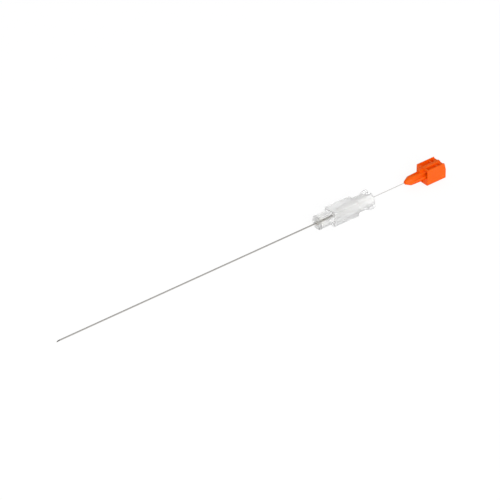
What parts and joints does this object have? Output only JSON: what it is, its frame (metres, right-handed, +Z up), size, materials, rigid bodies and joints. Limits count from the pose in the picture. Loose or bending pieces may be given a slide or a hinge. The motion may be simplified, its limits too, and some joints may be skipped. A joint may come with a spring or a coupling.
{
  "type": "spinal needle",
  "caption": "Long fine bevelled needle tube in a clear hub with a square grip and lock rear end, with a stylet wire in a coloured handle drawn partly out.",
  "frame": {"origin": "on the needle's axis, in the plane of the hub's rear face, the mouth of its Luer socket", "axes": "+X along the needle from its tip towards the stylet's handle, +Z up, which is also the side that the bevel and the key notch face"},
  "size_m": [0.1801, 0.0072, 0.0072],
  "materials": {
    "clear_plastic": "nearly clear moulded plastic",
    "steel": "drawn stainless steel",
    "adhesive": "cured clear adhesive",
    "orange_plastic": "satin moulded plastic"
  },
  "bodies": {
    "needle": {"needle_hub": "clear_plastic", "cannula": "steel", "cannula_adhesive": "adhesive"},
    "stylet": {"stylet_handle": "orange_plastic", "stylet_wire": "steel"}
  },
  "joints": [
    {"name": "stylet_slide", "type": "slide", "parent": "needle", "child": "stylet", "axis": [1, 0, 0], "range_m": [-0.0258, 0.1215]}
  ]
}
